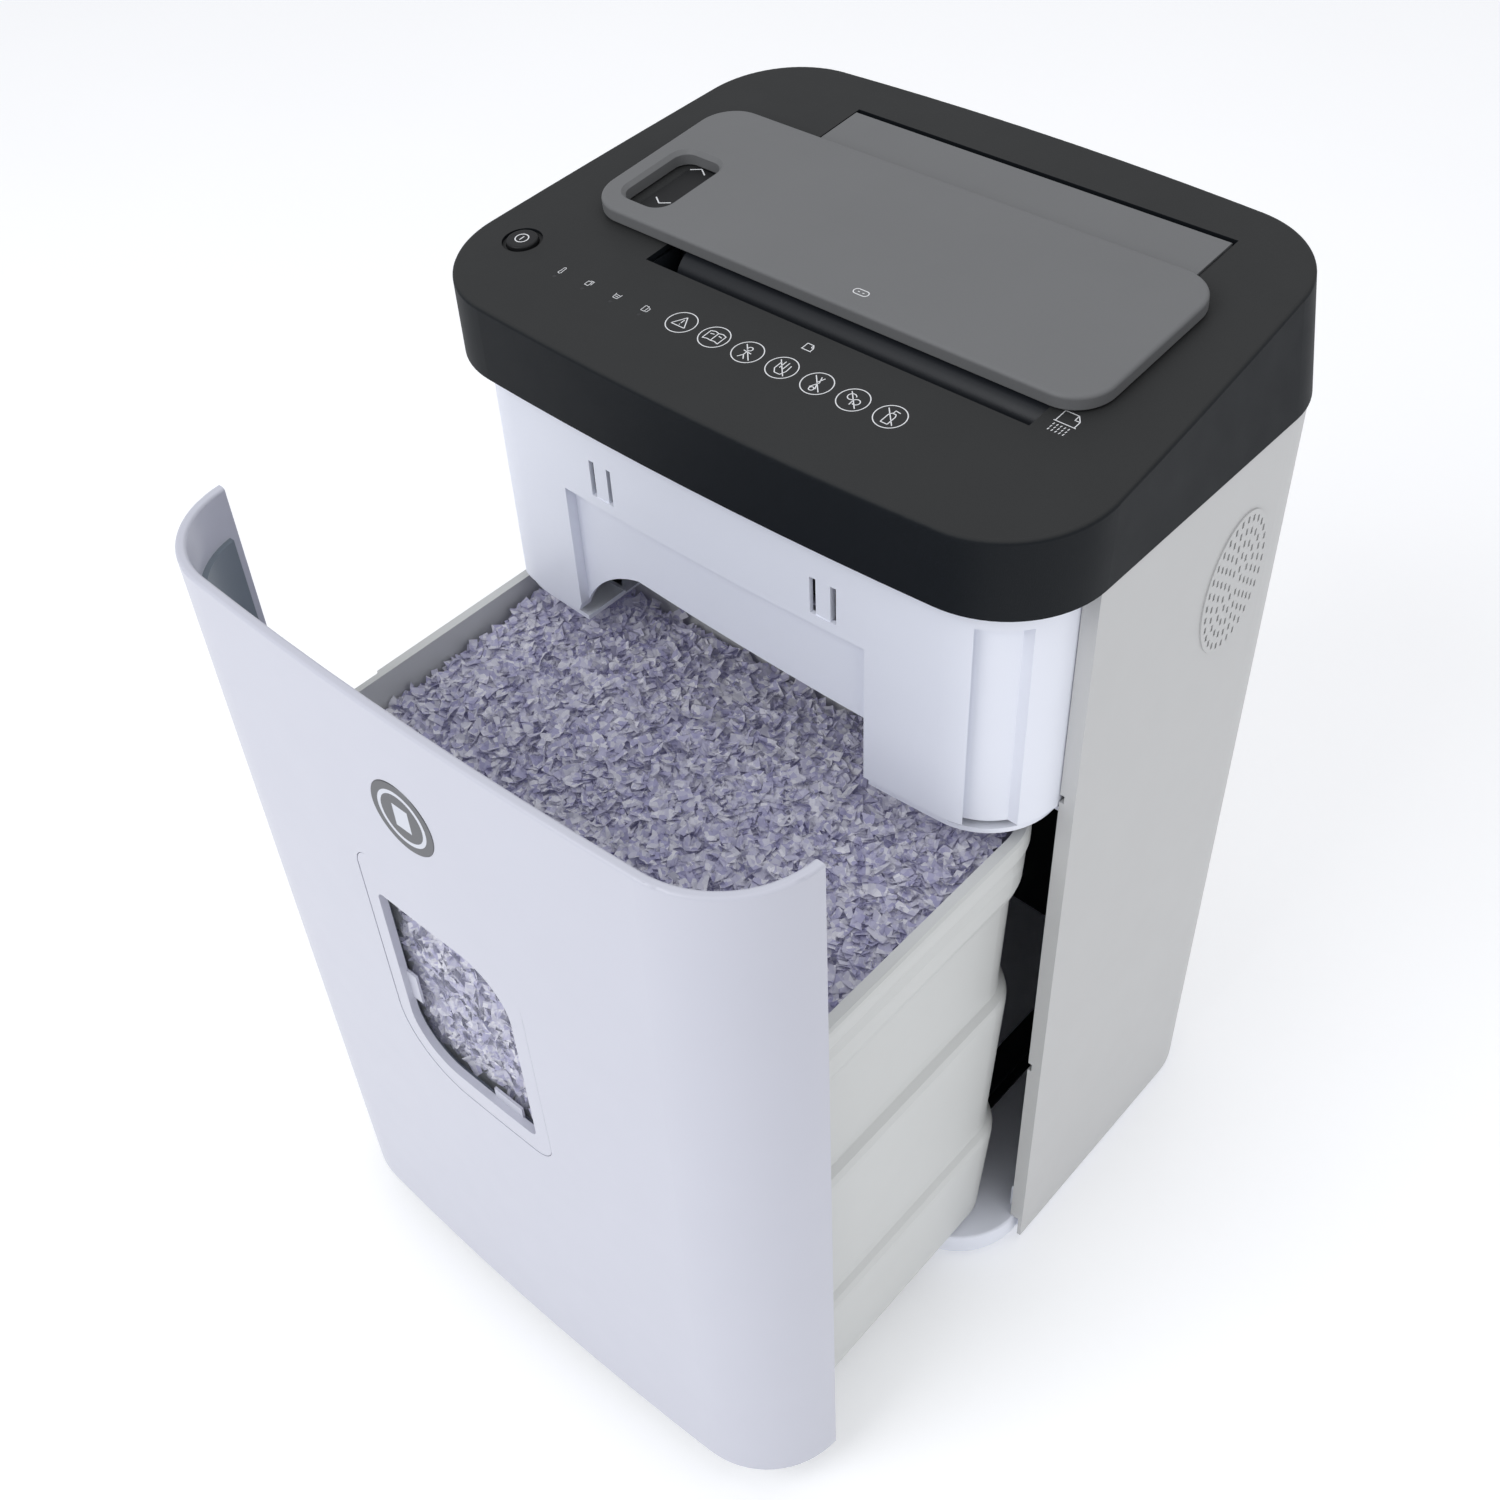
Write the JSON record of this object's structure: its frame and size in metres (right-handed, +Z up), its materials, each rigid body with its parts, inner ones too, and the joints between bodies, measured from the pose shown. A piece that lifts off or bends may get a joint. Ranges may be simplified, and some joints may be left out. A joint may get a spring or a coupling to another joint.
{
  "type": "paper shredder",
  "caption": "Floor-standing paper shredder: sloping charcoal head with a hinged feed lid, white cabinet and a pull-out bin, stored partly open and heaped with shreds.",
  "frame": {"origin": "on the floor under the middle of the cabinet, drawer travel left out", "axes": "+X to the user's right, +Y to the back of the machine, +Z up; the drawer opens towards -Y"},
  "size_m": [0.37, 0.4483, 0.5885],
  "materials": {
    "head_plastic": "fine-textured charcoal moulding",
    "lid_plastic": "fine-textured mid-grey moulding",
    "light_plastic": "smooth cool-white moulding",
    "panel_plastic": "fine-textured warm-white moulding",
    "drawer_plastic": "semi-gloss white moulding",
    "tub_plastic": "satin off-white moulding",
    "dark_plastic": "dark grey moulding",
    "grey_plastic": "grey moulding",
    "black_rubber": "soft matt rubber",
    "clear_pane": "clear polystyrene pane",
    "badge_metal": "satin disc",
    "steel": "machined steel",
    "zinc_steel": "zinc-plated pressed steel",
    "gear_nylon": "natural nylon",
    "circuit_board": "green solder mask",
    "light_guide": "clear acrylic",
    "shreds": "small crumpled cut particles"
  },
  "bodies": {
    "cabinet": {"top_cover": "head_plastic", "hinge_pins": "steel", "rocker_pin": "steel", "control_board": "circuit_board", "board_components": "dark_plastic", "light_pipes": "light_guide", "front_hood": "light_plastic", "left_side_panel": "panel_plastic", "right_side_panel": "panel_plastic", "back_panel": "panel_plastic", "back_panel_screws": "zinc_steel", "bay_liner": "dark_plastic", "mechanism_liner": "dark_plastic", "deck_plate": "light_plastic", "plinth": "light_plastic", "feet": "black_rubber", "slide_rails": "dark_plastic", "cord_gland": "dark_plastic", "feed_tray": "dark_plastic", "feed_ramp": "dark_plastic", "throat_chute": "dark_plastic", "front_stripper": "dark_plastic", "rear_stripper": "dark_plastic", "gear_axles": "steel", "left_cutter_frame": "zinc_steel", "right_cutter_frame": "zinc_steel", "shaft_bushes": "gear_nylon", "tie_rods": "zinc_steel", "motor_body": "zinc_steel", "gear_cover": "dark_plastic", "motor_capacitor": "grey_plastic", "power_button_spring": "steel"},
    "bin": {"bin_tub": "tub_plastic", "drawer_front": "drawer_plastic", "front_badge": "badge_metal", "drawer_liner": "light_plastic", "window_bezel": "drawer_plastic", "window_pane": "clear_pane", "runner_shoes": "dark_plastic", "shredded_paper": "shreds"},
    "lid": {"feed_lid": "lid_plastic", "lid_hinge_flap": "lid_plastic", "plate_pivot_pin": "steel"},
    "plate": {"pressure_plate": "dark_plastic", "pressure_pad": "black_rubber"},
    "power": {"power_button": "head_plastic"},
    "rocker": {"rocker_button": "dark_plastic"},
    "rear_cutter_shaft": {"rear_cutter": "steel", "rear_sync_gear": "steel", "cutter_drive_gear": "steel"},
    "front_cutter_shaft": {"front_cutter": "steel", "front_sync_gear": "steel"},
    "second_gear": {"second_reduction_gear": "steel"},
    "first_gear": {"first_reduction_gear": "gear_nylon"},
    "motor_shaft": {"motor_rotor": "steel", "cooling_fan": "dark_plastic"},
    "idler": {"idler_gear": "gear_nylon"},
    "feed_roller": {"feed_roller_shaft": "gear_nylon", "feed_rollers": "black_rubber"}
  },
  "joints": [
    {"name": "bin_slide", "type": "slide", "parent": "cabinet", "child": "bin", "axis": [0, -1, 0], "range_m": [-0.178, 0.022]},
    {"name": "lid_hinge", "type": "hinge", "parent": "cabinet", "child": "lid", "pos_m": [0, 0.09794, 0.57981], "axis": [-1, 0, 0], "range_deg": [0, 78]},
    {"name": "pressure_plate_hinge", "type": "hinge", "parent": "lid", "child": "plate", "pos_m": [0, 0.04235, 0.57254], "axis": [-1, 0, 0], "range_deg": [0, 9], "stiffness_Nm_per_rad": 0.4, "springref_deg": -17.19},
    {"name": "power_button_press", "type": "slide", "parent": "cabinet", "child": "power", "axis": [0, 0.0837, -0.9965], "range_m": [0, 0.0015], "stiffness_N_per_m": 400, "deforming": ["power_button_spring"]},
    {"name": "rocker_tilt", "type": "hinge", "parent": "cabinet", "child": "rocker", "pos_m": [-0.122, -0.00647, 0.56844], "axis": [1, 0, 0], "range_deg": [-4, 4], "stiffness_Nm_per_rad": 0.3},
    {"name": "rear_cutter_spin", "type": "hinge", "parent": "cabinet", "child": "rear_cutter_shaft", "pos_m": [0, -0.028, 0.464], "axis": [1, 0, 0], "continuous": true},
    {"name": "front_cutter_spin", "type": "hinge", "parent": "cabinet", "child": "front_cutter_shaft", "pos_m": [0, -0.064, 0.464], "axis": [1, 0, 0], "continuous": true},
    {"name": "second_gear_spin", "type": "hinge", "parent": "cabinet", "child": "second_gear", "pos_m": [0, 0.00064, 0.49264], "axis": [1, 0, 0], "continuous": true},
    {"name": "first_gear_spin", "type": "hinge", "parent": "cabinet", "child": "first_gear", "pos_m": [0, 0.03863, 0.485], "axis": [1, 0, 0], "continuous": true},
    {"name": "motor_spin", "type": "hinge", "parent": "cabinet", "child": "motor_shaft", "pos_m": [0, 0.038, 0.449], "axis": [1, 0, 0], "continuous": true},
    {"name": "idler_spin", "type": "hinge", "parent": "cabinet", "child": "idler", "pos_m": [0, 0.00034, 0.495], "axis": [1, 0, 0], "continuous": true},
    {"name": "feed_roller_spin", "type": "hinge", "parent": "cabinet", "child": "feed_roller", "pos_m": [0, 0, 0.534], "axis": [1, 0, 0], "continuous": true}
  ],
  "couplings": [
    {"joint": "front_cutter_spin", "follows": "rear_cutter_spin", "ratio": -1},
    {"joint": "second_gear_spin", "follows": "rear_cutter_spin", "ratio": -2.8571},
    {"joint": "first_gear_spin", "follows": "rear_cutter_spin", "ratio": 9.7959},
    {"joint": "motor_spin", "follows": "rear_cutter_spin", "ratio": -48.98},
    {"joint": "idler_spin", "follows": "rear_cutter_spin", "ratio": -0.75},
    {"joint": "feed_roller_spin", "follows": "rear_cutter_spin", "ratio": 1.2}
  ]
}
